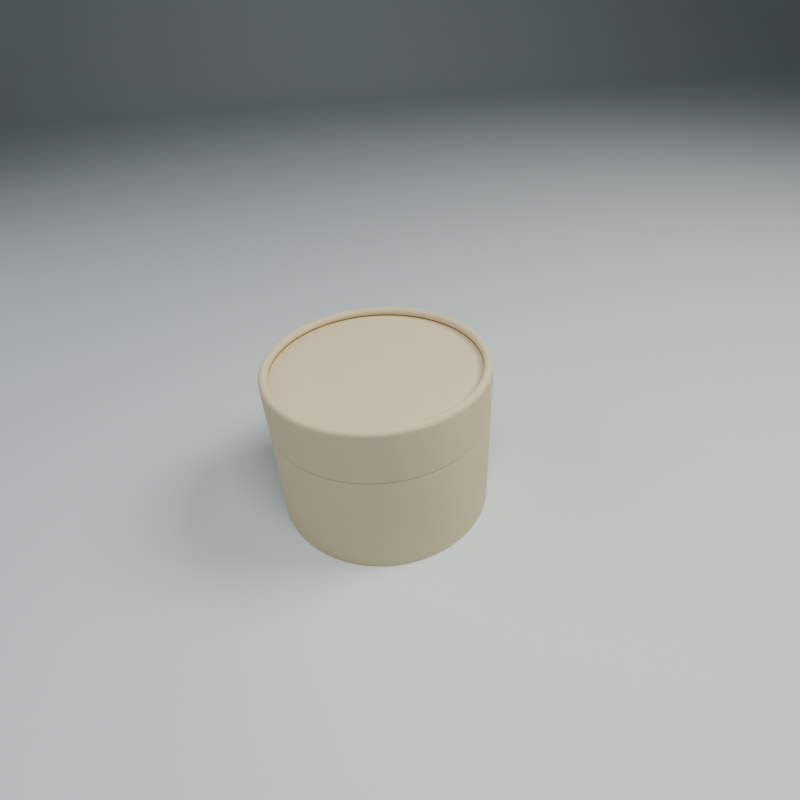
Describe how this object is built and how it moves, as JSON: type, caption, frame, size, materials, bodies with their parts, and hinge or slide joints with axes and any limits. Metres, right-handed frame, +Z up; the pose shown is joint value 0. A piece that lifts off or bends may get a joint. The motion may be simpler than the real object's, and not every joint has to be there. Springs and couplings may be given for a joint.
{
  "type": "cylindrical gift tube box",
  "caption": "Short round paper-covered tube box with a lift-off lid, a rolled rim round a sunken top disc, and a neck that guides the lid.",
  "frame": {"origin": "centre of the base's foot, on the plane that the box stands on", "axes": "+Z up along the tube's axis, through the lid; +X to the right and -Y towards the viewer of the picture"},
  "size_m": [0.1, 0.1, 0.075],
  "materials": {
    "cream_paper": "matte, fine tooth",
    "lining_paper": "matte, smooth",
    "greyboard": "matte, fibrous"
  },
  "bodies": {
    "base": {"base_cover_paper": "cream_paper", "base_board_tube": "greyboard", "base_disc_paper": "cream_paper", "base_board_disc": "greyboard", "base_floor_card": "lining_paper", "neck_cover_paper": "cream_paper", "neck_board_tube": "greyboard", "neck_lining_paper": "lining_paper"},
    "lid": {"lid_cover_paper": "cream_paper", "lid_board_tube": "greyboard", "lid_lining_paper": "lining_paper", "lid_disc_paper": "cream_paper", "lid_board_disc": "greyboard", "lid_inside_card": "lining_paper"}
  },
  "joints": [
    {"name": "lid_lift", "type": "slide", "parent": "base", "child": "lid", "axis": [0, 0, 1], "range_m": [0, 0.13]}
  ]
}
